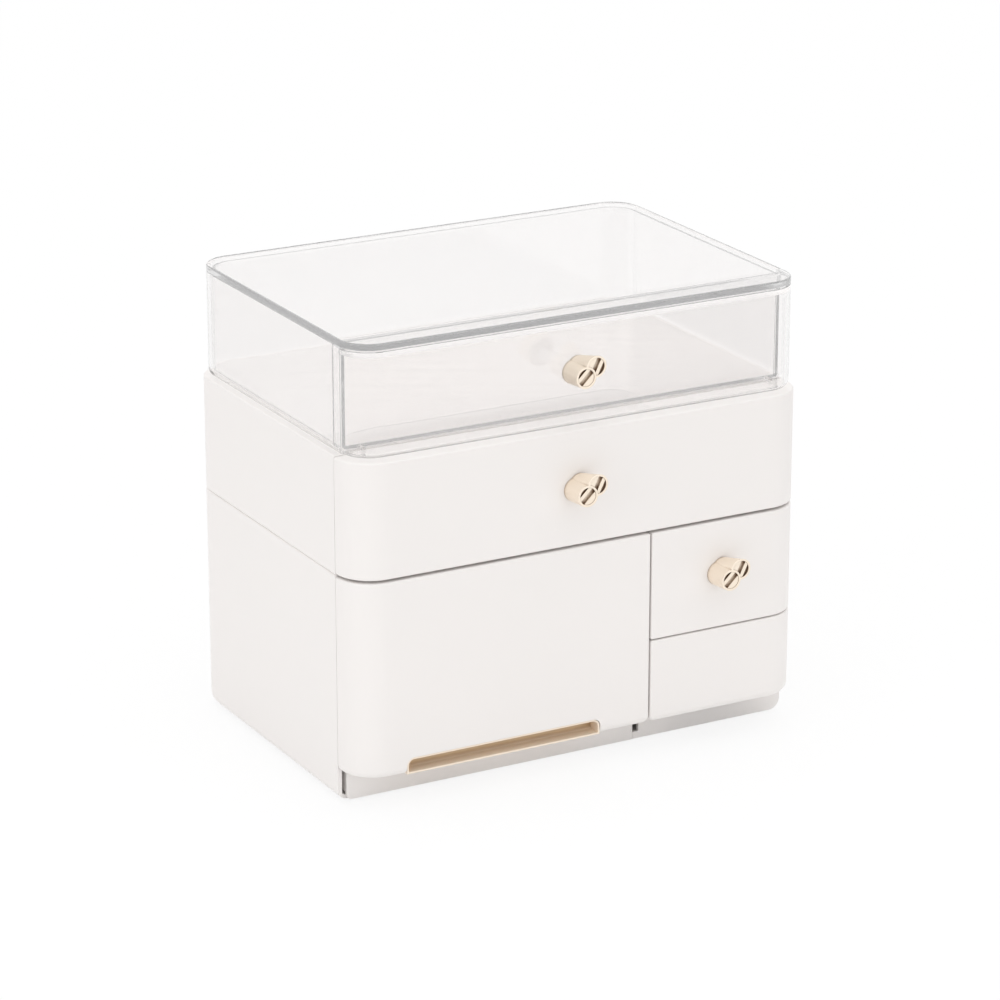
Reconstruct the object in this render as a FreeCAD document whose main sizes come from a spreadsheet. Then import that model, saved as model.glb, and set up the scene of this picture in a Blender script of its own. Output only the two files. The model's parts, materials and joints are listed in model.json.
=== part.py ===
"""Three-tier desktop organizer: two white drawer tiers under a clear one, with gold knobs.

Millimetres, +Z up. The origin is on the table, under the middle of the whole footprint, knobs included.
The drawers pull out towards -Y.
"""
import FreeCAD, Part
import math
import os
import re

doc = FreeCAD.newDocument("drawer_organizer")
sheet = doc.addObject("Spreadsheet::Sheet", "sizes")
Vector = FreeCAD.Vector
TOUCH = 0.01    # two coordinates closer than this are the same place
OVER = 5.0      # how far a cutting solid runs past the face that it opens
LOW_TILT, HIGH_TILT = 44.0, 64.0    # bars of a knob's two rings, in degrees from level

# Driving sizes
SIZES = {
    # whole organizer
    "width": 300.0, "depth": 213.0, "corner_round": 22.0,
    "bottom_tier": 140.0, "middle_tier": 71.0, "clear_tier": 68.0,
    # white cases
    "case_wall": 2.5, "edge_round": 1.2, "tier_round": 1.5, "body_round": 7.0, "bay_round": 4.0,
    "foot_lift": 0.6, "plinth_height": 1.0, "plinth_inset": 8.0, "base_floor": 3.4,
    "under_recess": 1.0, "under_margin": 5.0,
    "foot_radius": 7.0, "foot_margin": 5.0,
    # bays of the bottom tier
    "seam_place": 44.3, "seam_gap": 1.0, "divider_wall": 2.5, "divider_shift": 2.1,
    "shelf_level": 72.4, "shelf_wall": 2.5, "toe_height": 20.0, "rail_drop": 0.4,
    "runner_width": 3.0, "runner_margin": 12.0, "guide_level": 72.0, "guide_height": 4.0, "guide_start": 25.0,
    "slot_width": 4.1, "slot_depth": 12.0, "slot_level": 6.0,
    # clear tier
    "clear_inset": 3.0, "clear_wall": 2.4, "clear_top": 3.8, "clear_round": 4.0,
    "clear_edge": 0.5, "clear_wing": 6.0, "lid_height": 4.0, "lid_round": 1.0, "lid_edge": 0.4,
    "tab_margin": 13.0, "tab_width": 2.0, "tab_depth": 6.0, "tab_height": 4.0,
    # hollow drawer fronts
    "front_wall": 2.4, "front_return": 0.6, "front_gap": 0.4, "tier_gap": 0.8, "front_edge": 1.2,
    "toe_round": 5.0, "post_radius": 3.5, "post_margin": 9.0,
    # trays
    "tray_wall": 2.0, "tray_floor": 2.0, "tray_gap": 0.4, "side_gap": 0.8, "slit": 2.8, "tray_top_gap": 0.5,
    "tray_back_gap": 1.0, "side_drop": 12.0, "clear_drop": 1.0, "tray_edge": 3.0, "toe_edge": 3.2,
    "toe_notch": 5.5,
    # gold finger pull
    "pull_length": 128.0, "pull_height": 10.0, "pull_round": 5.0, "pull_wall": 1.0, "pull_depth": 12.0,
    "pull_step": 0.6, "pull_rise": 5.0, "pull_cove": 3.0, "pull_play": 0.35,
    # finger slot under the lower right front
    "slot_length": 60.0, "slot_depth": 14.0, "slot_land": 3.0,
    # knobs
    "knob_length": 15.0, "knob_shift": -6.0,
    "clear_knob_rise": 1.9, "middle_knob_rise": -0.6, "small_knob_rise": 1.0,
    "barrel_foot": 7.4, "lean_foot": 6.4, "ring_radius": 6.4, "ring_rim": 1.2,
    "foot_across": 2.6, "foot_rise": 3.0, "ring_across": 6.6, "ring_rise": 5.8,
    "cell_depth": 2.0, "cell_width": 2.8, "bar_width": 2.2, "bar_offset": 2.2, "bar_sink": 0.4,
    # screws
    "screw_radius": 2.0, "head_radius": 3.6, "head_height": 2.2, "screw_reach": 7.0, "screw_play": 0.1,
    "tapping_radius": 1.5, "tapping_head": 3.0, "tapping_reach": 10.0,
}
for row, (alias, size) in enumerate(SIZES.items(), 1):
    sheet.set(f"A{row}", alias)
    sheet.set(f"B{row}", str(size))
    sheet.setAlias(f"B{row}", alias)
doc.recompute()

# Planes and levels, as formulas of the driving sizes
LEFT, RIGHT = "(0 - width / 2)", "(width / 2)"
FRONT, BACK = "((knob_length - depth) / 2)", "((knob_length + depth) / 2)"
FRONT_RIM = f"({FRONT} + corner_round + front_return)"
CASE_FRONT = f"({FRONT_RIM} + front_gap)"
MIDDLE, CLEAR = "bottom_tier", "(bottom_tier + middle_tier)"
TOP = "(bottom_tier + middle_tier + clear_tier)"
LID_UNDER = f"({TOP} - lid_height)"
PLINTH_TOP = "(foot_lift + plinth_height)"
FLOOR_TOP = "(foot_lift + base_floor)"
DIVIDER = "(seam_place + divider_shift)"
DIVIDER_RIGHT = f"({DIVIDER} + divider_wall)"
RAIL_TOP = "(toe_height - rail_drop)"
CASE_ROUND = "(corner_round - case_wall)"
BAY_LEFT, BAY_RIGHT = f"({LEFT} + case_wall)", f"({RIGHT} - case_wall)"
BAY_BACK = f"({BACK} - case_wall)"
TOE_BACK = f"({FRONT_RIM} + tray_wall)"


def cells(formula):
    """The formula as an expression that reads the sheet."""
    return re.sub(r"[a-z_]+", lambda word: "sizes." + word.group(), formula)


def number(formula):
    return float(sheet.evalExpression(cells(formula)))


def bind(thing, **formulas):
    for name, formula in formulas.items():
        thing.setExpression(name, cells(formula))


def put(thing, x, y, z):
    for axis, formula in zip("xyz", (x, y, z)):
        thing.setExpression(f"Placement.Base.{axis}", cells(formula))


def block(name, x, y, z):
    """A box between the low and the high formula of each axis."""
    solid = doc.addObject("Part::Box", name)
    bind(solid, Length=f"({x[1]}) - ({x[0]})", Width=f"({y[1]}) - ({y[0]})", Height=f"({z[1]}) - ({z[0]})")
    put(solid, x[0], y[0], z[0])
    return solid


def rod(name, x, y, z, radius):
    """A cylinder along Y, from the high formula of y forward to the low one."""
    solid = doc.addObject("Part::Cylinder", name)
    solid.Placement.Rotation = FreeCAD.Rotation(Vector(1, 0, 0), 90)
    bind(solid, Radius=radius, Height=f"({y[1]}) - ({y[0]})")
    put(solid, x, y[1], z)
    return solid


def fused(name, *solids):
    union = doc.addObject("Part::MultiFuse", name)
    union.Shapes = list(solids)
    union.Refine = True
    return union


def cut(name, base, *tools):
    result = doc.addObject("Part::Cut", name)
    result.Base = base
    result.Tool = tools[0] if len(tools) == 1 else fused(name + "_tools", *tools)
    return result


def group(name, solids):
    together = doc.addObject("Part::Compound", name)
    together.Links = list(solids)
    return together


def near(one, other):
    return abs(one - other) < TOUCH


def upright(x, y):
    """Picks the vertical edge at x, y."""
    x, y = number(x), number(y)
    return lambda box: (near(box.XMin, x) and near(box.XMax, x)
                        and near(box.YMin, y) and near(box.YMax, y))


def lengthwise(x, z):
    """Picks the edge along Y at x, z."""
    x, z = number(x), number(z)
    return lambda box: (near(box.XMin, x) and near(box.XMax, x)
                        and near(box.ZMin, z) and near(box.ZMax, z))


def crosswise(y, z):
    """Picks the edge along X at y, z."""
    y, z = number(y), number(z)
    return lambda box: (near(box.YMin, y) and near(box.YMax, y)
                        and near(box.ZMin, z) and near(box.ZMax, z))


def outline(z, open_y):
    """Picks the edges at level z, apart from the straight one on the open side."""
    z, open_y = number(z), number(open_y)
    return lambda box: (near(box.ZMin, z) and near(box.ZMax, z)
                        and not (near(box.YMin, open_y) and near(box.YMax, open_y)))


def rounded(name, base, *rounds):
    """The base with the edges that each test picks rounded to the formula beside it."""
    doc.recompute()
    result = doc.addObject("Part::Fillet", name)
    result.Base = base
    edges = []
    for radius, test in rounds:
        size = number(radius)
        edges += [(index, size, size) for index, edge in enumerate(base.Shape.Edges, 1)
                  if test(edge.BoundBox)]
    result.Edges = edges
    return result


pieces = []


def piece(label, solid):
    solid.Label = label
    pieces.append(solid)
    return solid


def case_body(name, x, y, z, corner, low_round, high_round):
    """An outer body, open towards the front, with round back corners and soft lower and upper edges."""
    body = block(name + "_block", x, y, z)
    body = rounded(name + "_corners", body, (corner, upright(x[0], y[1])), (corner, upright(x[1], y[1])))
    return rounded(name + "_edges", body, (low_round, outline(z[0], y[0])), (high_round, outline(z[1], y[0])))


def bay(name, x, y, z, corner):
    """The space inside a case, run out past its open front, with round back corners."""
    space = block(name + "_block", x, (f"{y[0]} - {OVER}", y[1]), z)
    return rounded(name, space, (corner, upright(x[0], y[1])), (corner, upright(x[1], y[1])))


def bottom_case():
    """Floor on a low plinth, sides, back and top; the right bay has runners and a slotted toe rail."""
    x, y = (LEFT, RIGHT), (CASE_FRONT, BACK)
    shell = case_body("bottom_body", x, y, (PLINTH_TOP, MIDDLE), "corner_round", "body_round", "edge_round")
    inset_x = (f"{LEFT} + plinth_inset", f"{RIGHT} - plinth_inset")
    inset_y = (f"{CASE_FRONT} + plinth_inset", f"{BACK} - plinth_inset")
    plinth = block("plinth_block", inset_x, inset_y, ("foot_lift", PLINTH_TOP))
    plinth = rounded("plinth", plinth,
                     *[("(corner_round - plinth_inset)", upright(a, b)) for a in inset_x for b in inset_y])
    recess = block("under_recess", (f"{inset_x[0]} + under_margin", f"{inset_x[1]} - under_margin"),
                   (f"{inset_y[0]} + under_margin", f"{inset_y[1]} - under_margin"),
                   (f"foot_lift - {OVER}", "foot_lift + under_recess"))
    bay_x, bay_y = (BAY_LEFT, BAY_RIGHT), (CASE_FRONT, BAY_BACK)
    space = bay("bottom_bay", bay_x, bay_y, (FLOOR_TOP, f"{MIDDLE} - case_wall"), CASE_ROUND)
    space = rounded("bottom_bay_foot", space, ("bay_round", outline(FLOOR_TOP, f"{CASE_FRONT} - {OVER}")))
    rail = block("toe_rail_block", (DIVIDER, BAY_RIGHT), (CASE_FRONT, f"{CASE_FRONT} + case_wall"),
                 (FLOOR_TOP, RAIL_TOP))
    slot = block("toe_slot", (f"{DIVIDER} - {OVER}", f"{DIVIDER} + slot_width"),
                 (f"{CASE_FRONT} - {OVER}", f"{CASE_FRONT} + slot_depth"),
                 ("slot_level", f"{RAIL_TOP} + {OVER}"))
    rail = cut("toe_rail", rail, slot)
    runners = [block(f"runner_{side}", (left, f"{left} + runner_width"),
                     (f"{CASE_FRONT} + case_wall", f"{BACK} - corner_round"), (FLOOR_TOP, RAIL_TOP))
               for side, left in (("inner", f"{DIVIDER_RIGHT} + runner_margin"),
                                  ("outer", f"{BAY_RIGHT} - runner_margin - runner_width"))]
    guide = block("left_guide", (BAY_LEFT, f"{BAY_LEFT} + slit - tray_gap"),
                  (f"{CASE_FRONT} + guide_start", f"{BACK} - corner_round"),
                  ("guide_level", "guide_level + guide_height"))
    toe_room = block("toe_room", (BAY_LEFT, DIVIDER), (f"{CASE_FRONT} - {OVER}", f"{TOE_BACK} + front_gap"),
                     (f"{PLINTH_TOP} - {OVER}", f"{FLOOR_TOP} + bay_round"))
    hollow = cut("bottom_hollow", fused("bottom_solid", shell, plinth), space, recess, toe_room)
    return piece("bottom_case", fused("bottom_case", hollow, rail, guide, *runners))


def divider_wall():
    """Upright wall between the two bays, with a guide rib for the big drawer."""
    wall = block("divider_block", (DIVIDER, DIVIDER_RIGHT), (CASE_FRONT, BAY_BACK),
                 (FLOOR_TOP, f"{MIDDLE} - case_wall"))
    wall = rounded("divider_plate", wall, ("bay_round", crosswise(BAY_BACK, FLOOR_TOP)))
    guide = block("divider_guide", (f"{DIVIDER} - slit + tray_gap", DIVIDER),
                  (f"{CASE_FRONT} + guide_start", f"{BACK} - corner_round"),
                  ("guide_level", "guide_level + guide_height"))
    notch = block("rail_notch", (f"{DIVIDER} - {OVER}", f"{DIVIDER_RIGHT} + {OVER}"),
                  (f"{CASE_FRONT} - {OVER}", f"{CASE_FRONT} + slot_depth"),
                  (f"{FLOOR_TOP} - {OVER}", RAIL_TOP))
    return piece("divider_wall", cut("divider_wall", fused("divider_solid", wall, guide), notch))


def right_shelf():
    """Shelf between the two small drawers, held by the divider and the right wall."""
    plate = block("right_shelf", (DIVIDER_RIGHT, BAY_RIGHT), (CASE_FRONT, f"{BACK} - corner_round"),
                  ("shelf_level - shelf_wall", "shelf_level"))
    return piece("right_shelf", plate)


def middle_case():
    x, y = (LEFT, RIGHT), (CASE_FRONT, BACK)
    shell = case_body("middle_body", x, y, (MIDDLE, CLEAR), "corner_round", "tier_round", "edge_round")
    space = bay("middle_bay", (BAY_LEFT, BAY_RIGHT), (CASE_FRONT, BAY_BACK),
                (f"{MIDDLE} + case_wall", f"{CLEAR} - case_wall"), CASE_ROUND)
    return piece("middle_case", cut("middle_case", shell, space))


CLEAR_X = (f"({LEFT} + clear_inset)", f"({RIGHT} - clear_inset)")
CLEAR_FRONT, CLEAR_BACK = f"({FRONT} + clear_inset)", f"({BACK} - clear_inset)"
CLEAR_CORNER = "(corner_round - clear_inset)"
CLEAR_RIM = f"({FRONT_RIM} + clear_wing)"
CLEAR_CASE_FRONT = f"({CLEAR_RIM} + front_gap)"


def clear_case():
    """Clear floor, sides and back, open at the top and the front, with round lower edges."""
    y, z = (CASE_FRONT, CLEAR_BACK), (CLEAR, LID_UNDER)
    shell = block("clear_block", CLEAR_X, y, z)
    shell = rounded("clear_corners", shell, (CLEAR_CORNER, upright(CLEAR_X[0], y[1])),
                    (CLEAR_CORNER, upright(CLEAR_X[1], y[1])))
    shell = rounded("clear_body", shell, ("clear_round", outline(CLEAR, y[0])))
    inner_x = (f"{CLEAR_X[0]} + clear_wall", f"{CLEAR_X[1]} - clear_wall")
    space = bay("clear_bay", inner_x, (y[0], f"{CLEAR_BACK} - clear_wall"),
                (f"{CLEAR} + clear_wall", f"{LID_UNDER} + {OVER}"), f"({CLEAR_CORNER} - clear_wall)")
    space_foot = outline(f"{CLEAR} + clear_wall", f"{y[0]} - {OVER}")
    space = rounded("clear_bay_foot", space, ("clear_round - clear_wall / 2", space_foot))
    wing_room = block("clear_wing_room", (f"{CLEAR_X[0]} - {OVER}", f"{CLEAR_X[1]} + {OVER}"),
                      (f"{CASE_FRONT} - {OVER}", CLEAR_CASE_FRONT),
                      (f"{CLEAR} + tier_gap + clear_round - front_gap", f"{LID_UNDER} + {OVER}"))
    return piece("clear_case", cut("clear_case", shell, space, wing_room))


def clear_lid():
    """Clear plate over the whole plan, with four round corners."""
    y, z = (CLEAR_FRONT, CLEAR_BACK), (LID_UNDER, TOP)
    plate = block("lid_block", CLEAR_X, y, z)
    plate = rounded("lid_corners", plate, *[(CLEAR_CORNER, upright(a, b)) for a in CLEAR_X for b in y])
    nowhere = f"{BACK} + {OVER}"
    return piece("clear_lid", rounded("clear_lid", plate, ("lid_edge", outline(LID_UNDER, nowhere)),
                                      ("lid_round", outline(TOP, nowhere))))


def rubber_feet():
    """Four flat pads in the corners of the recess under the base."""
    reach = "(plinth_inset + under_margin + foot_radius + foot_margin)"
    feet = []
    for side, x in (("left", f"{LEFT} + {reach}"), ("right", f"{RIGHT} - {reach}")):
        for end, y in (("front", f"{CASE_FRONT} + {reach}"), ("back", f"{BACK} - {reach}")):
            foot = doc.addObject("Part::Cylinder", f"foot_{side}_{end}")
            bind(foot, Radius="foot_radius", Height="foot_lift + under_recess")
            put(foot, x, y, "0")
            feet.append(foot)
    return piece("rubber_feet", group("rubber_feet", feet))


def front_cap(name, x, z, face, wall, top_wall, rounds, corner, low_round, high_round="front_edge"):
    """A hollow front, open at the back, that follows the round corners named in rounds."""
    y = (face, FRONT_RIM)
    body = block(name + "_block", x, y, z)
    body = rounded(name + "_corners", body, *[(corner, upright(x[side], face)) for side in rounds])
    square = [upright(x[side], face) for side in (0, 1) if side not in rounds]
    body = rounded(name + "_edges", body, (low_round, outline(z[0], FRONT_RIM)),
                   (high_round, outline(z[1], FRONT_RIM)), *[("front_edge", test) for test in square])
    inner_x = (f"{x[0]} + {wall}", f"{x[1]} - {wall}")
    inner_face = f"({face} + {wall})"
    hollow = block(name + "_hollow_block", inner_x, (inner_face, f"{FRONT_RIM} + {OVER}"),
                   (f"{z[0]} + {wall}", f"{z[1]} - {top_wall}"))
    hollow = rounded(name + "_hollow", hollow,
                     *[(f"({corner} - {wall})", upright(inner_x[side], inner_face)) for side in rounds])
    return cut(name + "_cap", body, hollow)


def post_places(x, low, high):
    """Four screw posts of a wide front, as x and z formulas, between its low and high free levels."""
    side = "(corner_round + post_margin)"
    return [(across, up) for across in (f"({x[0]} + {side})", f"({x[1]} - {side})")
            for up in (f"({low} + post_margin)", f"({high} - front_wall - post_margin)")]


def with_posts(name, cap, places):
    """The front with its blind screw posts inside."""
    y = (f"{FRONT} + front_wall / 2", FRONT_RIM)
    posts = [rod(f"{name}_post_{index}", x, y, z, "post_radius") for index, (x, z) in enumerate(places)]
    deep = (f"{FRONT_RIM} - tapping_reach - front_wall", f"{FRONT_RIM} + {OVER}")
    holes = [rod(f"{name}_pilot_{index}", x, deep, z, "tapping_radius + screw_play")
             for index, (x, z) in enumerate(places)]
    return cut(name + "_bored", fused(name + "_posted", cap, *posts), *holes)


def knob_hole(name, cap, face, x, z):
    hole = rod(name + "_hole", x, (f"{face} - {OVER}", f"{face} + front_wall + {OVER}"), z,
               "screw_radius + screw_play")
    return cut(name, cap, hole)


def front_screws(label, places):
    """Pan-head tapping screws from inside the tray into the posts of its front."""
    seat = f"({FRONT_RIM} + tray_wall)"
    screws = []
    for index, (x, z) in enumerate(places):
        head = rod(f"{label}_head_{index}", x, (seat, f"{seat} + head_height"), z, "tapping_head")
        shank = rod(f"{label}_shank_{index}", x,
                    (f"{FRONT_RIM} - tapping_reach", f"{seat} + head_height / 2"), z, "tapping_radius")
        screws.append(fused(f"{label}_{index}", head, shank))
    return piece(label, group(label, screws))


def tray(name, x, z, back, wall, back_rounds, side_drop, corner):
    """A tray with a full-height front wall and lower sides, round at the back corners that it needs."""
    y = (FRONT_RIM, back)
    body = block(name + "_block", x, y, z)
    body = rounded(name + "_corners", body, *[(corner, upright(x[side], back)) for side in back_rounds])
    body = rounded(name + "_edges", body, ("tray_edge", outline(z[0], FRONT_RIM)))
    inner_x, inner_front = (f"{x[0]} + {wall}", f"{x[1]} - {wall}"), f"({FRONT_RIM} + {wall})"
    inner_back = f"({back} - {wall})"
    space = block(name + "_space_block", inner_x, (inner_front, inner_back),
                  (f"{z[0]} + tray_floor", f"{z[1]} + {OVER}"))
    space = rounded(name + "_space", space,
                    *[(f"({corner} - {wall})", upright(inner_x[side], inner_back)) for side in back_rounds])
    lower = block(name + "_drop", (f"{x[0]} - {OVER}", f"{x[1]} + {OVER}"), (inner_front, f"{back} + {OVER}"),
                  (f"{z[1]} - {side_drop}", f"{z[1]} + {OVER}"))
    return cut(name + "_tray_solid", body, space, lower)


def with_screw_holes(label, solid, places):
    holes = [rod(f"{label}_way_{index}", x, (f"{FRONT_RIM} - {OVER}", f"{FRONT_RIM} + tray_wall + {OVER}"), z,
                 "tapping_radius + screw_play") for index, (x, z) in enumerate(places)]
    return piece(label, cut(label, solid, *holes))


def disc_edge(name, x, y, z, radius):
    """A circle across Y."""
    circle = doc.addObject("Part::Circle", name)
    circle.Placement.Rotation = FreeCAD.Rotation(Vector(1, 0, 0), 90)
    bind(circle, Radius=radius)
    put(circle, x, y, z)
    return circle


def taper(name, foot, tip, foot_radius):
    """A round barrel from a foot to a ring at its tip, each given as x, y, z formulas."""
    barrel = doc.addObject("Part::Loft", name)
    barrel.Sections = [disc_edge(name + "_foot", *foot, foot_radius),
                       disc_edge(name + "_tip", *tip, "ring_radius")]
    barrel.Solid = True
    barrel.Ruled = True
    return barrel


def slat(name, x, y, z, tilt, low, high):
    """A slat across a ring, at a tilt in degrees from level, between two distances from its middle."""
    along, up = math.cos(math.radians(tilt)), math.sin(math.radians(tilt))
    solid = doc.addObject("Part::Box", name)
    solid.Placement.Rotation = FreeCAD.Rotation(Vector(0, 1, 0), -tilt)
    bind(solid, Length="2 * ring_radius", Width=f"({y[1]}) - ({y[0]})", Height=f"({high}) - ({low})")
    put(solid, f"{x} - ring_radius * {along:.6f} - ({low}) * {up:.6f}", y[0],
        f"{z} - ring_radius * {up:.6f} + ({low}) * {along:.6f}")
    return solid


def knob(label, x, face, z):
    """A straight barrel and a leaning one, merged at the foot; each ends in a ring with a bar and cells."""
    tip, floor = f"({face} - knob_length)", f"({face} - knob_length + cell_depth)"
    straight = (f"({x} - foot_across / 2)", z)
    leaning = (f"({x} + foot_across / 2)", f"({z} + foot_rise)")
    lean_tip = (f"({straight[0]} + ring_across)", f"({z} + ring_rise)")
    barrel = taper(label + "_barrel", (straight[0], face, z), (straight[0], tip, z), "barrel_foot")
    lean = taper(label + "_lean", (leaning[0], face, leaning[1]), (lean_tip[0], tip, lean_tip[1]),
                 "lean_foot")
    past, bar_front = f"({tip} - {OVER})", f"({tip} + bar_sink)"
    inner = "ring_radius - ring_rim"
    filled = (bar_front, f"{floor} + {OVER}")
    near_bar, far_bar = "(bar_offset - bar_width / 2)", "(bar_offset + bar_width / 2)"
    low_spans = ((near_bar, far_bar), ("0 - ring_radius", f"{near_bar} - cell_width"))
    high_spans = ((f"0 - {far_bar}", f"0 - {near_bar}"), (f"cell_width - {near_bar}", "ring_radius"))
    hollows = []
    for name, (ring_x, ring_z), tilt, spans in (("low", straight, LOW_TILT, low_spans),
                                                ("high", lean_tip, HIGH_TILT, high_spans)):
        part = f"{label}_{name}"
        slats = [slat(f"{part}_slat_{index}", ring_x, filled, ring_z, tilt, *span)
                 for index, span in enumerate(spans)]
        disc = rod(part + "_disc", ring_x, (past, floor), ring_z, inner)
        hollows.append(cut(part + "_cells", disc, *slats))
    low_ring = rod(label + "_low_ring", straight[0], (past, f"{floor} + {OVER}"), z, "ring_radius")
    bore = rod(label + "_thread", x, (f"{face} - screw_reach - screw_play", f"{face} + {OVER}"), z,
               "screw_radius + screw_play")
    solid = fused(label + "_solid", barrel, lean)
    piece(label, cut(label, solid, hollows[0], cut(label + "_hollow", hollows[1], low_ring), bore))
    seat = f"({face} + front_wall)"
    head = rod(label + "_head", x, (seat, f"{seat} + head_height"), z, "head_radius")
    shank = rod(label + "_shank", x, (f"{face} - screw_reach", f"{seat} + head_height / 2"), z,
                "screw_radius")
    piece(label + "_screw", fused(label + "_screw", head, shank))


def knob_place(x, z, rise):
    """Where the screw of a knob goes on a front, from the front's low and high formulas."""
    return f"(({x[0]} + {x[1]}) / 2 + knob_shift)", f"(({z[0]} + {z[1]}) / 2 + {rise})"


def clear_drawer():
    z = (f"({CLEAR} + tier_gap)", f"({LID_UNDER} - tier_gap)")
    cap = front_cap("clear_front", CLEAR_X, z, CLEAR_FRONT, "clear_wall", "clear_top", (0, 1), CLEAR_CORNER,
                    "clear_round", "clear_edge")
    wings = [block(f"clear_wing_{side}", x, (f"{FRONT_RIM} - clear_wall", CLEAR_RIM),
                   (f"{z[0]} + clear_round", z[1]))
             for side, x in (("left", (CLEAR_X[0], f"{CLEAR_X[0]} + clear_wall")),
                             ("right", (f"{CLEAR_X[1]} - clear_wall", CLEAR_X[1])))]
    tab_y = (f"{FRONT_RIM} - tab_depth", FRONT_RIM)
    tab_z = (f"{z[0]} + clear_wall / 2", f"{z[0]} + tab_height")
    tabs = [block(f"clear_tab_{side}", (f"{middle} - tab_width / 2", f"{middle} + tab_width / 2"),
                  tab_y, tab_z)
            for side, middle in (("left", f"({CLEAR_X[0]} + tab_margin)"),
                                 ("right", f"({CLEAR_X[1]} - tab_margin)"))]
    knob_x, knob_z = knob_place(CLEAR_X, z, "clear_knob_rise")
    piece("clear_front", knob_hole("clear_front", fused("clear_front_tabbed", cap, *tabs, *wings),
                                   CLEAR_FRONT, knob_x, knob_z))
    tray_x = (f"({CLEAR_X[0]} + clear_wall + side_gap)", f"({CLEAR_X[1]} - clear_wall - side_gap)")
    tray_z = (f"({CLEAR} + clear_wall + tray_gap)", f"({LID_UNDER} - tray_top_gap)")
    piece("clear_tray", tray("clear", tray_x, tray_z, f"({CLEAR_BACK} - clear_wall - tray_back_gap)",
                             "tray_wall", (0, 1), "clear_drop", f"({CLEAR_CORNER} - clear_wall)"))
    knob("clear_knob", knob_x, CLEAR_FRONT, knob_z)


def middle_drawer():
    x, z = (LEFT, RIGHT), (f"({MIDDLE} + tier_gap)", f"({CLEAR} - tier_gap / 2)")
    places = post_places(x, f"{z[0]} + front_wall", z[1])
    cap = front_cap("middle_front", x, z, FRONT, "front_wall", "front_wall", (0, 1), "corner_round",
                    "tier_round")
    knob_x, knob_z = knob_place(x, z, "middle_knob_rise")
    posted = with_posts("middle_front", cap, places)
    piece("middle_front", knob_hole("middle_front", posted, FRONT, knob_x, knob_z))
    tray_x = (f"({BAY_LEFT} + side_gap)", f"({BAY_RIGHT} - side_gap)")
    tray_z = (f"({MIDDLE} + case_wall + tray_gap)", f"({CLEAR} - case_wall - tray_top_gap)")
    solid = tray("middle", tray_x, tray_z, f"({BAY_BACK} - tray_back_gap)", "tray_wall", (0, 1), "side_drop",
                 CASE_ROUND)
    with_screw_holes("middle_tray", solid, places)
    front_screws("middle_front_screws", places)
    knob("middle_knob", knob_x, FRONT, knob_z)


def big_drawer():
    """The left drawer: its front has a notch in its lower edge, lined by the gold finger pull."""
    x, z = (LEFT, "(seam_place - seam_gap / 2)"), ("toe_height", f"({MIDDLE} - tier_gap)")
    places = post_places(x, f"{z[0]} + pull_height + pull_rise", z[1])
    cap = front_cap("big_front", x, z, FRONT, "front_wall", "front_wall", (0,), "corner_round", "toe_round")
    middle = f"(({x[0]} + {x[1]}) / 2)"
    pull_x = (f"({middle} - pull_length / 2)", f"({middle} + pull_length / 2)")
    pull_z = ("toe_height", "(toe_height + pull_height)")
    notch = block("pull_notch_block", pull_x, (f"{FRONT} - {OVER}", f"{FRONT} + pull_depth"),
                  (f"{pull_z[0]} - {OVER}", pull_z[1]))
    notch = rounded("pull_notch", notch, *[("pull_round", lengthwise(side, pull_z[1])) for side in pull_x])
    piece("big_front", cut("big_front", with_posts("big_front", cap, places), notch))
    gold_pull(pull_x, pull_z)
    tray_x = (f"({BAY_LEFT} + slit)", f"({DIVIDER} - slit)")
    tray_z = (f"({FLOOR_TOP} + tray_gap)", f"({MIDDLE} - case_wall - tray_top_gap)")
    solid = tray("big", tray_x, tray_z, f"({BAY_BACK} - tray_back_gap)", "tray_wall", (0,), "side_drop",
                 CASE_ROUND)
    toe = block("toe_kick_block", (tray_x[0], f"{DIVIDER} - tray_gap"), (FRONT_RIM, TOE_BACK),
                (PLINTH_TOP, "toe_height - toe_notch"))
    toe = rounded("toe_kick", toe, ("toe_edge", lengthwise(tray_x[0], PLINTH_TOP)))
    with_screw_holes("big_tray", fused("big_tray_toed", solid, toe), places)
    front_screws("big_front_screws", places)


def gold_pull(x, z):
    """A thin cup through the notch: a coved floor below, and a finger space that rises behind the front."""
    face, deep = f"({FRONT} + pull_step)", f"({FRONT} + pull_depth - pull_play)"
    outer_x, top = (f"({x[0]} + pull_play)", f"({x[1]} - pull_play)"), f"({z[1]} - pull_play)"
    throat = block("pull_throat_block", outer_x, (face, deep), (z[0], top))
    outer_round = "pull_round - pull_play"
    throat = rounded("pull_throat", throat, *[(outer_round, lengthwise(side, top)) for side in outer_x])
    behind = f"({FRONT} + front_wall + pull_play)"
    pocket_x = (f"({outer_x[0]} + pull_round)", f"({outer_x[1]} - pull_round)")
    pocket = block("pull_pocket", pocket_x, (behind, deep), (f"{top} - pull_round", f"{top} + pull_rise"))
    inner_x = (f"({outer_x[0]} + pull_wall)", f"({outer_x[1]} - pull_wall)")
    inner_deep, floor = f"({deep} - pull_wall)", f"({z[0]} + pull_wall)"
    ceiling = f"({top} - pull_wall)"
    mouth = block("pull_mouth_block", inner_x, (f"{face} - {OVER}", inner_deep), (floor, ceiling))
    mouth = rounded("pull_mouth", mouth, ("pull_cove", crosswise(inner_deep, floor)),
                    *[(f"{outer_round} - pull_wall", lengthwise(side, ceiling)) for side in inner_x])
    rise = block("pull_rise_space", (f"{pocket_x[0]} + pull_wall", f"{pocket_x[1]} - pull_wall"),
                 (f"{behind} + pull_wall", inner_deep), (f"{top} - pull_round", f"{ceiling} + pull_rise"))
    piece("gold_pull", cut("gold_pull", fused("pull_solid", throat, pocket), mouth, rise))


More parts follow.
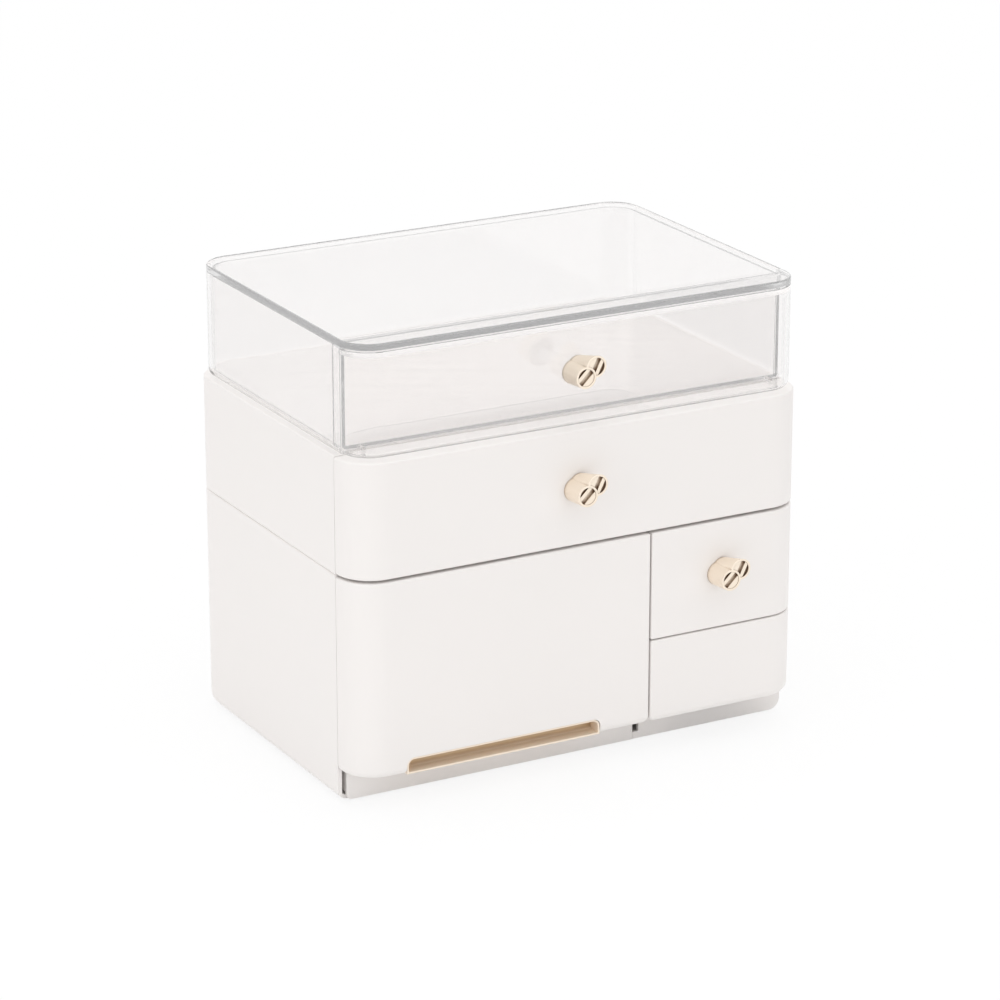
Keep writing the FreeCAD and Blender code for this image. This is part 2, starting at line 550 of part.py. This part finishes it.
def column_drawer(name, z, tray_z, low_round):
    """One of the two small drawers on the right; gives its front, ready for what opens it, and its width."""
    x = ("(seam_place + seam_gap / 2)", RIGHT)
    places = [(f"({x[0]} + front_wall + post_margin)", f"(({z[0]} + {z[1]}) / 2)"),
              (f"({x[1]} - corner_round - post_margin)", f"(({z[0]} + {z[1]}) / 2)")]
    cap = front_cap(name + "_front", x, z, FRONT, "front_wall", "front_wall", (1,), "corner_round", low_round)
    bored = with_posts(name + "_front", cap, places)
    tray_x = (f"({DIVIDER_RIGHT} + side_gap)", f"({BAY_RIGHT} - side_gap)")
    solid = tray(name, tray_x, tray_z, f"({BAY_BACK} - tray_back_gap)", "tray_wall", (1,), "side_drop",
                 CASE_ROUND)
    with_screw_holes(name + "_tray", solid, places)
    front_screws(name + "_front_screws", places)
    return bored, x


def small_drawer():
    z = ("(shelf_level + tier_gap / 2)", f"({MIDDLE} - tier_gap)")
    tray_z = ("(shelf_level + tray_gap)", f"({MIDDLE} - case_wall - tray_top_gap)")
    bored, x = column_drawer("small", z, tray_z, "front_edge")
    knob_x, knob_z = knob_place(x, z, "small_knob_rise")
    piece("small_front", knob_hole("small_front", bored, FRONT, knob_x, knob_z))
    knob("small_knob", knob_x, FRONT, knob_z)


def lower_drawer():
    """The lower right drawer has no knob: a finger slot in the underside of its front opens it."""
    z = ("toe_height", "(shelf_level - tier_gap / 2)")
    tray_z = (f"({RAIL_TOP} + tray_gap)", "(shelf_level - shelf_wall - tray_top_gap)")
    bored, x = column_drawer("lower", z, tray_z, "toe_round")
    middle = f"(({x[0]} + {x[1]}) / 2)"
    slot = block("lower_slot", (f"{middle} - slot_length / 2", f"{middle} + slot_length / 2"),
                 (f"{FRONT_RIM} - slot_land - slot_depth", f"{FRONT_RIM} - slot_land"),
                 (f"toe_height - {OVER}", "toe_height + front_wall + toe_round"))
    piece("lower_front", cut("lower_front", bored, slot))


for build in (bottom_case, divider_wall, right_shelf, middle_case, clear_case, clear_lid, rubber_feet,
              clear_drawer, middle_drawer, big_drawer, small_drawer, lower_drawer):
    build()
doc.recompute()

for thing in doc.Objects:
    if "Invalid" in thing.State or "Error" in thing.State:
        raise RuntimeError(f"{thing.Label} failed: {thing.State}")
for solid in pieces:
    if solid.Shape.isNull() or not solid.Shape.isValid() or not solid.Shape.Solids:
        raise RuntimeError(f"{solid.Label} has no valid shape")

os.makedirs("parts", exist_ok=True)
for solid in pieces:
    solid.Shape.exportStep(f"parts/{solid.Label}.step")
    box = solid.Shape.BoundBox
    print(f"{solid.Label}: {len(solid.Shape.Solids)} solids, {solid.Shape.Volume / 1000:.2f} cm3,",
          f"x {box.XMin:.1f} {box.XMax:.1f}, y {box.YMin:.1f} {box.YMax:.1f},",
          f"z {box.ZMin:.1f} {box.ZMax:.1f}")
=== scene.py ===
"""Looks of the drawer organizer: satin white plastic, clear plastic, pale gold and a white studio.

Metres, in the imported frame: +Z up, the drawers pull out towards -Y.
"""
import json
import math

import bpy
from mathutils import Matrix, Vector


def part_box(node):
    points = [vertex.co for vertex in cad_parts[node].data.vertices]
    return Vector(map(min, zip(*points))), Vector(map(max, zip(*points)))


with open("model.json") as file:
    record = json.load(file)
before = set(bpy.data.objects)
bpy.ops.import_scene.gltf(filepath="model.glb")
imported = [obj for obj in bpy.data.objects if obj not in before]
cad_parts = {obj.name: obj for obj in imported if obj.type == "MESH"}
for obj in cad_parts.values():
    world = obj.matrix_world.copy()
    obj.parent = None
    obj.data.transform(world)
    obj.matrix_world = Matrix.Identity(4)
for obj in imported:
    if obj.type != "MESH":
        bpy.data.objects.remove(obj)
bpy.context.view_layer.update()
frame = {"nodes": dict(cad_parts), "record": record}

# Camera, as fitted to the seam and lid lines of the photograph
CAMERA_FROM_MIDDLE = (-1.0887, -1.9868, 0.9158)     # from the middle of the case's plan, on the table
CAMERA_YAW, CAMERA_TILT = 28.765, 19.013            # degrees
CAMERA_LENS, CAMERA_SENSOR = 143.97, 36.0           # millimetres
CAMERA_REACH = 100.0                                # metres

# Studio
WHITE = (1.0, 1.0, 1.0, 1.0)
FLOOR_SIZE = 8.0
FLOOR_COLOUR, FLOOR_ROUGH = (0.96, 0.96, 0.96, 1.0), 0.9
SHADOW_SHARE = 0.15                     # how much of the floor's own shade shows on its white
ROOM_LEVEL, ROOM_ABOVE = 0.20, 1.24     # the room's light along the floor, and what the ceiling adds to it
LAMPS = (("left_lamp", (-2.2, -0.7, 0.7), 1.4, 7.6),    # name, place, size and watts
         ("front_lamp", (0.6, -2.4, 0.4), 1.6, 8.4))

# Octaves of detail in a noise
SMOOTH, UNEVEN, FINE = 2.0, 3.0, 4.0

# White plastic: two tints, roughness from low to high, noise scales per metre
WHITE_TINTS = (0.875, 0.845, 0.825, 1.0), (0.895, 0.860, 0.840, 1.0)
WHITE_ROUGH = 0.34, 0.44
WHITE_CLOUD, WHITE_PATCHES, WHITE_GRAIN = 9.0, 120.0, 2600.0
WHITE_BUMP = 0.12, 0.00004              # strength and height of the grain
WHITE_IOR = 1.5

# Clear plastic
CLEAR_TINTS = (0.990, 0.982, 0.979, 1.0), (0.998, 0.990, 0.987, 1.0)
CLEAR_ROUGH = 0.0, 0.012
CLEAR_CLOUD, CLEAR_PATCHES = 12.0, 60.0
CLEAR_IOR = 1.49
EDGE_TURNS = 1.5                        # turns inside, between one and two, after which the ray meets the painted grey of an edge
EDGE_PAINTED_GREY = (0.50, 0.50, 0.50, 1.0)     # painted grey of the edges, a painted reflection of dark surroundings
EDGE_SHARE = 0.4                        # how much of the painted grey each wall then adds to what lies behind it
BENT_WALLS = 8.5                        # walls that a ray passes bent before it runs straight on

# Pale gold, and how the knobs' finish and painted shade differ from the finger pull's
GOLD_TINTS = (0.93, 0.81, 0.67, 1.0), (0.95, 0.84, 0.71, 1.0)
GOLD_CLOUD, GOLD_HAIRLINES, HAIRLINE_STRETCH = 160.0, 1800.0, (0.06, 1.0, 1.0)
GOLD_BUMP = 0.03, 0.00003               # strength and height of the hairlines
GOLD_EDGE = 0.0004                      # radius of the softened edges
# the knobs' brown is painted shade, laid into their cells where little light reaches
KNOB_METAL, KNOB_ROUGH, KNOB_PAINTED_SHADE = 0.60, (0.33, 0.39), (0.22, 0.13, 0.07, 1.0)
KNOB_REACH = 0.003                      # how near the walls of a hollow that gets painted shade are
# the pull's brown is painted shade on its back wall, under the panel's edge
PULL_METAL, PULL_ROUGH, PULL_PAINTED_SHADE = 0.20, (0.40, 0.52), (0.62, 0.45, 0.28, 1.0)
PULL_BACK = 0.74, 0.86                  # shares of the pull's depth between which its painted shade sets in
OPEN_HOLLOW, DEEP_HOLLOW = 0.85, 0.35   # openness of a hollow where the painted shade starts and where it is full
PROBES = 8                              # rays that soft edges and hollows are read with

# Screws and feet
STEEL_TINTS = (0.52, 0.53, 0.55, 1.0), (0.66, 0.66, 0.65, 1.0)
STEEL_ROUGH, STEEL_CLOUD = (0.22, 0.40), 420.0
RUBBER_TINTS = (0.050, 0.050, 0.050, 1.0), (0.085, 0.083, 0.080, 1.0)
RUBBER_ROUGH, RUBBER_GRAIN, RUBBER_BUMP = 0.8, 900.0, (0.5, 0.0001)


def new_material(name):
    """A node material with only a Principled shader; gives the material, its tree and the shader."""
    material = bpy.data.materials.new(name)
    material.use_nodes = True
    tree = material.node_tree
    tree.nodes.clear()
    output = tree.nodes.new("ShaderNodeOutputMaterial")
    shader = tree.nodes.new("ShaderNodeBsdfPrincipled")
    tree.links.new(shader.outputs["BSDF"], output.inputs["Surface"])
    return material, tree, shader


def object_noise(tree, scale, detail=SMOOTH, stretch=(1.0, 1.0, 1.0)):
    """Noise in the part's own metres, drawn out along the axes whose stretch is below one."""
    place = tree.nodes.new("ShaderNodeTexCoord")
    mapping = tree.nodes.new("ShaderNodeMapping")
    mapping.inputs["Scale"].default_value = stretch
    noise = tree.nodes.new("ShaderNodeTexNoise")
    noise.inputs["Scale"].default_value = scale
    noise.inputs["Detail"].default_value = detail
    tree.links.new(place.outputs["Object"], mapping.inputs["Vector"])
    tree.links.new(mapping.outputs["Vector"], noise.inputs["Vector"])
    return noise.outputs["Fac"]


def ramp(tree, value, start=(0.0, 1.0), end=(0.0, 1.0)):
    """The value carried from one range to another, and held at its ends."""
    node = tree.nodes.new("ShaderNodeMapRange")
    node.inputs["From Min"].default_value, node.inputs["From Max"].default_value = start
    node.inputs["To Min"].default_value, node.inputs["To Max"].default_value = end
    tree.links.new(value, node.inputs["Value"])
    return node.outputs["Result"]


def tint(tree, value, tints):
    """A colour between two, by the noise value."""
    mix = tree.nodes.new("ShaderNodeMix")
    mix.data_type = "RGBA"
    mix.inputs["A"].default_value, mix.inputs["B"].default_value = tints
    tree.links.new(value, mix.inputs["Factor"])
    return mix.outputs["Result"]


def bump(tree, value, strength, height):
    """A bump of a real height in metres from the noise value."""
    node = tree.nodes.new("ShaderNodeBump")
    node.inputs["Strength"].default_value = strength
    node.inputs["Distance"].default_value = height
    tree.links.new(value, node.inputs["Height"])
    return node


def either(tree, one, other):
    """One where either of two switches is on."""
    switch = tree.nodes.new("ShaderNodeMath")
    switch.operation = "MAXIMUM"
    tree.links.new(one, switch.inputs[0])
    tree.links.new(other, switch.inputs[1])
    return switch.outputs["Value"]


def above(tree, value, limit):
    """One where the value is over the limit."""
    switch = tree.nodes.new("ShaderNodeMath")
    switch.operation = "GREATER_THAN"
    switch.inputs[1].default_value = limit
    tree.links.new(value, switch.inputs[0])
    return switch.outputs["Value"]


def shader_mix(tree, switch, one, other):
    """One shader where the switch is off and the other where it is on."""
    mix = tree.nodes.new("ShaderNodeMixShader")
    tree.links.new(switch, mix.inputs["Fac"])
    tree.links.new(one, mix.inputs[1])
    tree.links.new(other, mix.inputs[2])
    return mix.outputs["Shader"]


def soft_edges(tree, radius):
    """A normal that rounds sharp edges off over a radius in metres."""
    node = tree.nodes.new("ShaderNodeBevel")
    node.samples = PROBES
    node.inputs["Radius"].default_value = radius
    return node.outputs["Normal"]


def knob_hollow_shade(tree):
    """Painted-shade mask: zero out in the open, up to one deep in the knob's cells."""
    node = tree.nodes.new("ShaderNodeAmbientOcclusion")
    node.samples = PROBES
    node.inputs["Distance"].default_value = KNOB_REACH
    return ramp(tree, node.outputs["AO"], (OPEN_HOLLOW, DEEP_HOLLOW))


def pull_back_shade(tree):
    """Painted-shade mask: zero at the front of the finger pull, one on its back wall, where the panel's
    edge shades it.
    """
    place = tree.nodes.new("ShaderNodeTexCoord")
    parts = tree.nodes.new("ShaderNodeSeparateXYZ")
    tree.links.new(place.outputs["Generated"], parts.inputs["Vector"])
    return ramp(tree, parts.outputs["Y"], PULL_BACK)


def white_plastic():
    """Satin white plastic with a fine moulded grain."""
    material, tree, shader = new_material("white_plastic")
    grain = bump(tree, object_noise(tree, WHITE_GRAIN), *WHITE_BUMP)
    tree.links.new(tint(tree, object_noise(tree, WHITE_CLOUD, UNEVEN), WHITE_TINTS),
                   shader.inputs["Base Color"])
    tree.links.new(ramp(tree, object_noise(tree, WHITE_PATCHES, FINE), end=WHITE_ROUGH),
                   shader.inputs["Roughness"])
    tree.links.new(grain.outputs["Normal"], shader.inputs["Normal"])
    shader.inputs["IOR"].default_value = WHITE_IOR
    return material


def clear_plastic():
    """Clear plastic with painted grey edges that stand in for reflected dark surroundings, and that lets
    the room's light through to what is inside.
    """
    material, tree, shader = new_material("clear_plastic")
    shader.inputs["Transmission Weight"].default_value = 1.0
    shader.inputs["IOR"].default_value = CLEAR_IOR
    tree.links.new(tint(tree, object_noise(tree, CLEAR_CLOUD), CLEAR_TINTS), shader.inputs["Base Color"])
    tree.links.new(ramp(tree, object_noise(tree, CLEAR_PATCHES, UNEVEN), end=CLEAR_ROUGH),
                   shader.inputs["Roughness"])
    path = tree.nodes.new("ShaderNodeLightPath")
    open_way = tree.nodes.new("ShaderNodeBsdfTransparent").outputs["BSDF"]
    # painted reflection: a grey diffuse stands in for the dark surroundings that the edges reflect
    grey = tree.nodes.new("ShaderNodeBsdfDiffuse")
    grey.inputs["Color"].default_value = EDGE_PAINTED_GREY
    edge = tree.nodes.new("ShaderNodeMixShader")
    edge.inputs["Fac"].default_value = EDGE_SHARE
    tree.links.new(open_way, edge.inputs[1])
    tree.links.new(grey.outputs["BSDF"], edge.inputs[2])
    turned = above(tree, path.outputs["Glossy Depth"], EDGE_TURNS)
    seen = shader_mix(tree, turned, shader.outputs["BSDF"], edge.outputs["Shader"])
    lamps = either(tree, path.outputs["Is Shadow Ray"], path.outputs["Is Diffuse Ray"])
    straight = either(tree, lamps, above(tree, path.outputs["Ray Depth"], BENT_WALLS))
    tree.links.new(shader_mix(tree, straight, seen, open_way),
                   tree.nodes["Material Output"].inputs["Surface"])
    return material


def pale_gold(name, metal, rough, shade_mask, painted_shade):
    """Champagne plate with fine hairlines, with brown painted shade where its shade mask is high."""
    material, tree, shader = new_material(name)
    hairlines = object_noise(tree, GOLD_HAIRLINES, stretch=HAIRLINE_STRETCH)
    mix = tree.nodes.new("ShaderNodeMix")
    mix.data_type = "RGBA"
    mix.inputs["B"].default_value = painted_shade
    # painted shade: the brown is mixed into the plate colour by the shade mask
    tree.links.new(shade_mask(tree), mix.inputs["Factor"])
    tree.links.new(tint(tree, object_noise(tree, GOLD_CLOUD, UNEVEN), GOLD_TINTS), mix.inputs["A"])
    tree.links.new(mix.outputs["Result"], shader.inputs["Base Color"])
    tree.links.new(ramp(tree, hairlines, end=rough), shader.inputs["Roughness"])
    ripple = bump(tree, hairlines, *GOLD_BUMP)
    tree.links.new(soft_edges(tree, GOLD_EDGE), ripple.inputs["Normal"])
    tree.links.new(ripple.outputs["Normal"], shader.inputs["Normal"])
    shader.inputs["Metallic"].default_value = metal
    return material


def zinc_steel():
    """Zinc-plated steel of the screws."""
    material, tree, shader = new_material("zinc_steel")
    cloud = object_noise(tree, STEEL_CLOUD, FINE)
    tree.links.new(tint(tree, cloud, STEEL_TINTS), shader.inputs["Base Color"])
    tree.links.new(ramp(tree, cloud, end=STEEL_ROUGH), shader.inputs["Roughness"])
    shader.inputs["Metallic"].default_value = 1.0
    return material


def pad_rubber():
    """Dull dark rubber of the feet."""
    material, tree, shader = new_material("pad_rubber")
    grain = object_noise(tree, RUBBER_GRAIN, FINE)
    tree.links.new(tint(tree, grain, RUBBER_TINTS), shader.inputs["Base Color"])
    tree.links.new(bump(tree, grain, *RUBBER_BUMP).outputs["Normal"], shader.inputs["Normal"])
    shader.inputs["Roughness"].default_value = RUBBER_ROUGH
    return material


def dress():
    """Each CAD node gets the finish of its slot in the record; the finger pull has its own gold."""
    # the golds carry painted shade: in the knobs' cells, and on the back wall of the finger pull
    finishes = {"white_plastic": white_plastic(), "clear_plastic": clear_plastic(),
                "gold": pale_gold("pale_gold", KNOB_METAL, KNOB_ROUGH, knob_hollow_shade, KNOB_PAINTED_SHADE),
                "steel": zinc_steel(), "rubber": pad_rubber()}
    pull = pale_gold("satin_gold", PULL_METAL, PULL_ROUGH, pull_back_shade, PULL_PAINTED_SHADE)
    for part in frame["record"]["subparts"]:
        node = frame["nodes"][part["node"]]
        node.data.materials.clear()
        node.data.materials.append(pull if part["node"] == "gold_pull" else finishes[part["material_slot"]])


def seen_straight(tree):
    """One for what is seen by the camera, in metal or through glass; zero for the light on the object."""
    path = tree.nodes.new("ShaderNodeLightPath")
    mirrored = either(tree, path.outputs["Is Glossy Ray"], path.outputs["Is Transmission Ray"])
    return either(tree, path.outputs["Is Camera Ray"], mirrored)


def floor():
    """A pale floor that keeps a light shadow of the object and shows white away from it."""
    mesh = bpy.data.meshes.new("studio_floor")
    half = FLOOR_SIZE / 2
    corners = [(-half, -half, 0), (half, -half, 0), (half, half, 0), (-half, half, 0)]
    mesh.from_pydata(corners, [], [(0, 1, 2, 3)])
    plane = bpy.data.objects.new("studio_floor", mesh)
    bpy.context.collection.objects.link(plane)
    material, tree, shader = new_material("studio_floor")
    shader.inputs["Base Color"].default_value = FLOOR_COLOUR
    shader.inputs["Roughness"].default_value = FLOOR_ROUGH
    shader.inputs["Specular IOR Level"].default_value = 0.0
    white = tree.nodes.new("ShaderNodeEmission")
    white.inputs["Color"].default_value = WHITE
    share = ramp(tree, seen_straight(tree), end=(0.0, 1.0 - SHADOW_SHARE))
    tree.links.new(shader_mix(tree, share, shader.outputs["BSDF"], white.outputs["Emission"]),
                   tree.nodes["Material Output"].inputs["Surface"])
    mesh.materials.append(material)


def studio():
    """A white room, brighter from above, with two low soft lamps on the left and in front."""
    world = bpy.data.worlds.new("studio")
    world.use_nodes = True
    tree = world.node_tree
    tree.nodes.clear()
    output = tree.nodes.new("ShaderNodeOutputWorld")
    direction = tree.nodes.new("ShaderNodeTexCoord")
    parts = tree.nodes.new("ShaderNodeSeparateXYZ")
    tree.links.new(direction.outputs["Generated"], parts.inputs["Vector"])
    room = tree.nodes.new("ShaderNodeBackground")
    room.inputs["Color"].default_value = WHITE
    tree.links.new(ramp(tree, parts.outputs["Z"], end=(ROOM_LEVEL, ROOM_LEVEL + ROOM_ABOVE)),
                   room.inputs["Strength"])
    white = tree.nodes.new("ShaderNodeBackground")
    white.inputs["Color"].default_value = WHITE
    shown = shader_mix(tree, seen_straight(tree), room.outputs["Background"], white.outputs["Background"])
    tree.links.new(shown, output.inputs["Surface"])
    bpy.context.scene.world = world
    for name, place, size, power in LAMPS:
        lamp = bpy.data.lights.new(name, "AREA")
        lamp.size = size
        lamp.energy = power
        softbox = bpy.data.objects.new(name, lamp)
        softbox.location = place
        softbox.visible_transmission = False        # or it shows as a white pane through the clear plastic
        softbox.rotation_euler = Vector(place).to_track_quat("Z", "Y").to_euler()
        bpy.context.collection.objects.link(softbox)


def camera():
    """The photograph's view of the case."""
    front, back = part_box("middle_front")[0][1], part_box("middle_case")[1][1]
    data = bpy.data.cameras.new("camera")
    data.lens = CAMERA_LENS
    data.sensor_width = CAMERA_SENSOR
    data.clip_end = CAMERA_REACH
    eye = bpy.data.objects.new("camera", data)
    bpy.context.collection.objects.link(eye)
    x, y, z = CAMERA_FROM_MIDDLE
    eye.location = (x, y + (front + back) / 2, z)
    eye.rotation_euler = (math.radians(90.0 - CAMERA_TILT), 0.0, math.radians(-CAMERA_YAW))
    bpy.context.scene.camera = eye


dress()
floor()
studio()
camera()
bpy.context.scene.view_settings.view_transform = "Standard"
